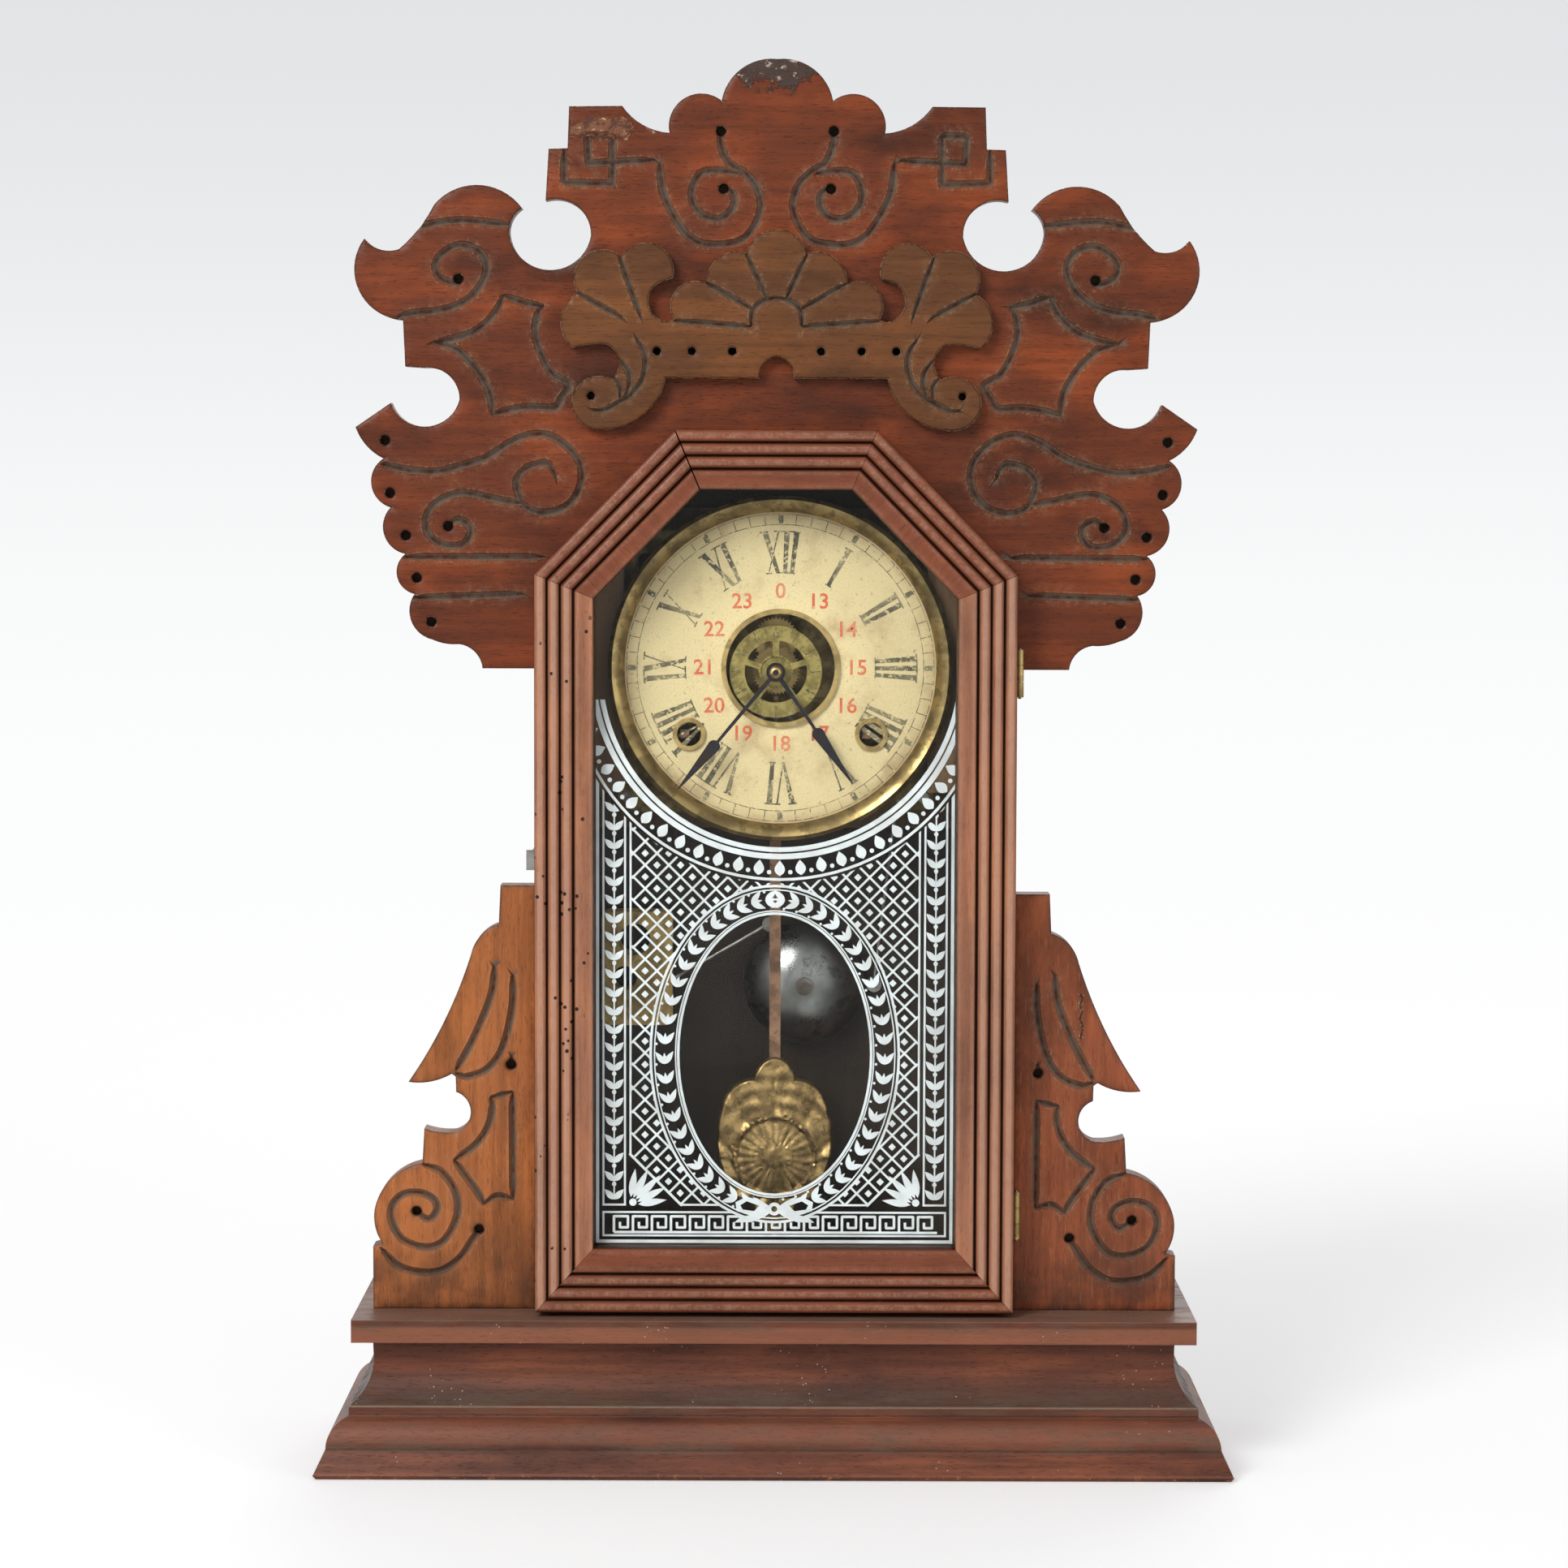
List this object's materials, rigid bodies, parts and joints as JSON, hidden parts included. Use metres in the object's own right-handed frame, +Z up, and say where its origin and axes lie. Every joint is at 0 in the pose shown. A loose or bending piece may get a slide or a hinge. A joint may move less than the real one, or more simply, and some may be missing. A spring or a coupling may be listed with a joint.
{
  "type": "gingerbread clock",
  "caption": "Wooden shelf clock with sawn and carved crest, reeded door, striking movement with alarm, pendulum and bell.",
  "frame": {"origin": "middle of the base's footprint, at the surface it stands on", "axes": "+Z up, the dial and door face -Y, +X to the viewer's right"},
  "size_m": [0.3636, 0.12, 0.5596],
  "materials": {
    "base_wood": "dark red-brown stain, dusty",
    "plain_wood": "unfinished softwood, aged",
    "case_wood": "red-brown stain",
    "crest_wood": "red mahogany stain, worn satin",
    "overlay_wood": "olive-brown stain, worn satin",
    "bracket_wood": "orange-brown stain, worn satin",
    "door_wood": "red-brown stain, rubbed reeds",
    "door_glass": "clear, with a silver-white stencilled tablet",
    "dial_paper": "aged cream paper on sheet metal",
    "brass": "aged, lightly polished",
    "cast_brass": "antique cast",
    "copper": "dull brown coating",
    "steel": "aged bright steel",
    "blued_steel": "dark blued",
    "nickel": "tarnished nickel plate"
  },
  "bodies": {
    "case": {"base_top_board": "base_wood", "plinth_front_moulding": "base_wood", "plinth_left_moulding": "base_wood", "plinth_right_moulding": "base_wood", "plinth_back_rail": "plain_wood", "case_left_side": "case_wood", "case_right_side": "case_wood", "case_top": "plain_wood", "backboard": "plain_wood", "backboard_screws": "steel", "crest_board": "crest_wood", "crest_overlay": "overlay_wood", "left_bracket": "bracket_wood", "right_bracket": "bracket_wood", "inner_battens": "plain_wood", "hinge_case_leaves": "steel", "hinge_pins": "steel", "door_catch": "steel", "dial_plate": "dial_paper", "dial_bezel": "brass", "dial_eye_ring": "brass", "winding_grommets": "brass", "movement_front_plate": "brass", "movement_back_plate": "brass", "movement_pillars": "brass", "mainsprings": "steel", "bell": "nickel", "bell_post": "steel", "alarm_frame": "brass"},
    "door": {"door_top_rail": "door_wood", "door_left_slant": "door_wood", "door_right_slant": "door_wood", "door_left_stile": "door_wood", "door_right_stile": "door_wood", "door_bottom_rail": "door_wood", "door_glass": "door_glass", "glass_bead": "plain_wood", "hinge_door_leaves": "steel"},
    "minute_arbor": {"centre_arbor": "steel", "minute_hand": "blued_steel", "hand_nut": "steel"},
    "hour_pipe": {"hour_wheel": "brass", "hour_hand": "blued_steel"},
    "alarm_setter": {"alarm_disc": "brass"},
    "motion_wheel": {"minute_wheel": "brass"},
    "escape": {"escape_wheel": "brass"},
    "time_third": {"time_third_wheel": "brass"},
    "time_centre": {"time_centre_wheel": "brass"},
    "time_second": {"time_second_wheel": "brass"},
    "time_great": {"time_great_wheel": "brass"},
    "time_winder": {"time_winding_arbor": "steel"},
    "fly": {"strike_fly": "brass"},
    "strike_pins": {"strike_pin_wheel": "brass"},
    "strike_great": {"strike_great_wheel": "brass"},
    "strike_winder": {"strike_winding_arbor": "steel"},
    "verge_arm": {"verge": "steel"},
    "pendulum": {"pendulum_rod": "copper", "pendulum_bob": "cast_brass"},
    "strike_hammer_arm": {"strike_hammer": "steel"},
    "alarm_hammer_arm": {"alarm_hammer": "steel"}
  },
  "joints": [
    {"name": "door_hinge", "type": "hinge", "parent": "case", "child": "door", "pos_m": [0.09705, -0.0238, 0.2], "axis": [0, 0, 1], "range_deg": [0, 98]},
    {"name": "minute_turn", "type": "hinge", "parent": "case", "child": "minute_arbor", "pos_m": [0, 0.02, 0.3175], "axis": [0, 1, 0], "continuous": true},
    {"name": "hour_turn", "type": "hinge", "parent": "case", "child": "hour_pipe", "pos_m": [0, 0.02, 0.3175], "axis": [0, 1, 0], "continuous": true},
    {"name": "alarm_set_turn", "type": "hinge", "parent": "hour_pipe", "child": "alarm_setter", "pos_m": [0, 0.02, 0.3175], "axis": [0, 1, 0], "continuous": true},
    {"name": "motion_turn", "type": "hinge", "parent": "case", "child": "motion_wheel", "pos_m": [0, 0.02, 0.3295], "axis": [0, 1, 0], "continuous": true},
    {"name": "escape_turn", "type": "hinge", "parent": "case", "child": "escape", "pos_m": [0, 0.02, 0.28088], "axis": [0, 1, 0], "continuous": true},
    {"name": "third_turn", "type": "hinge", "parent": "case", "child": "time_third", "pos_m": [-0.00399, 0.02, 0.2979], "axis": [0, 1, 0], "continuous": true},
    {"name": "centre_turn", "type": "hinge", "parent": "case", "child": "time_centre", "pos_m": [0, 0.02, 0.3175], "axis": [0, 1, 0], "continuous": true},
    {"name": "second_turn", "type": "hinge", "parent": "case", "child": "time_second", "pos_m": [0.02191, 0.02, 0.32106], "axis": [0, 1, 0], "continuous": true},
    {"name": "time_great_turn", "type": "hinge", "parent": "case", "child": "time_great", "pos_m": [0.0365, 0.02, 0.2923], "axis": [0, 1, 0], "continuous": true},
    {"name": "time_winding", "type": "hinge", "parent": "case", "child": "time_winder", "pos_m": [0.0365, 0.02, 0.2923], "axis": [0, 1, 0], "continuous": true},
    {"name": "fly_turn", "type": "hinge", "parent": "case", "child": "fly", "pos_m": [-0.02232, 0.02, 0.34021], "axis": [0, 1, 0], "continuous": true},
    {"name": "strike_pin_turn", "type": "hinge", "parent": "case", "child": "strike_pins", "pos_m": [-0.03802, 0.02, 0.32451], "axis": [0, 1, 0], "continuous": true},
    {"name": "strike_great_turn", "type": "hinge", "parent": "case", "child": "strike_great", "pos_m": [-0.0365, 0.02, 0.2923], "axis": [0, 1, 0], "continuous": true},
    {"name": "strike_winding", "type": "hinge", "parent": "case", "child": "strike_winder", "pos_m": [-0.0365, 0.02, 0.2923], "axis": [0, 1, 0], "continuous": true},
    {"name": "pendulum_swing", "type": "hinge", "parent": "case", "child": "pendulum", "pos_m": [0, 0.002, 0.3035], "axis": [0, 1, 0], "range_deg": [-4, 4]},
    {"name": "verge_rock", "type": "hinge", "parent": "case", "child": "verge_arm", "pos_m": [0, 0.007, 0.2989], "axis": [0, 1, 0], "range_deg": [-4.7, 4.7]},
    {"name": "strike_hammer_lift", "type": "hinge", "parent": "case", "child": "strike_hammer_arm", "pos_m": [0.05, 0.02, 0.264], "axis": [0, 1, 0], "range_deg": [-12, 0]},
    {"name": "alarm_hammer_lift", "type": "hinge", "parent": "case", "child": "alarm_hammer_arm", "pos_m": [-0.0457, 0.035, 0.18644], "axis": [0, 1, 0], "range_deg": [-14, 0]}
  ],
  "couplings": [
    {"joint": "hour_turn", "follows": "minute_turn", "ratio": 0.083333},
    {"joint": "motion_turn", "follows": "minute_turn", "ratio": -0.33333},
    {"joint": "third_turn", "follows": "escape_turn", "ratio": -0.095238},
    {"joint": "centre_turn", "follows": "escape_turn", "ratio": 0.010582},
    {"joint": "second_turn", "follows": "escape_turn", "ratio": -0.0012827},
    {"joint": "time_great_turn", "follows": "escape_turn", "ratio": 0.00013156},
    {"joint": "strike_pin_turn", "follows": "fly_turn", "ratio": -0.12121},
    {"joint": "strike_great_turn", "follows": "fly_turn", "ratio": 0.012432},
    {"joint": "verge_rock", "follows": "pendulum_swing", "ratio": 1.1559}
  ]
}
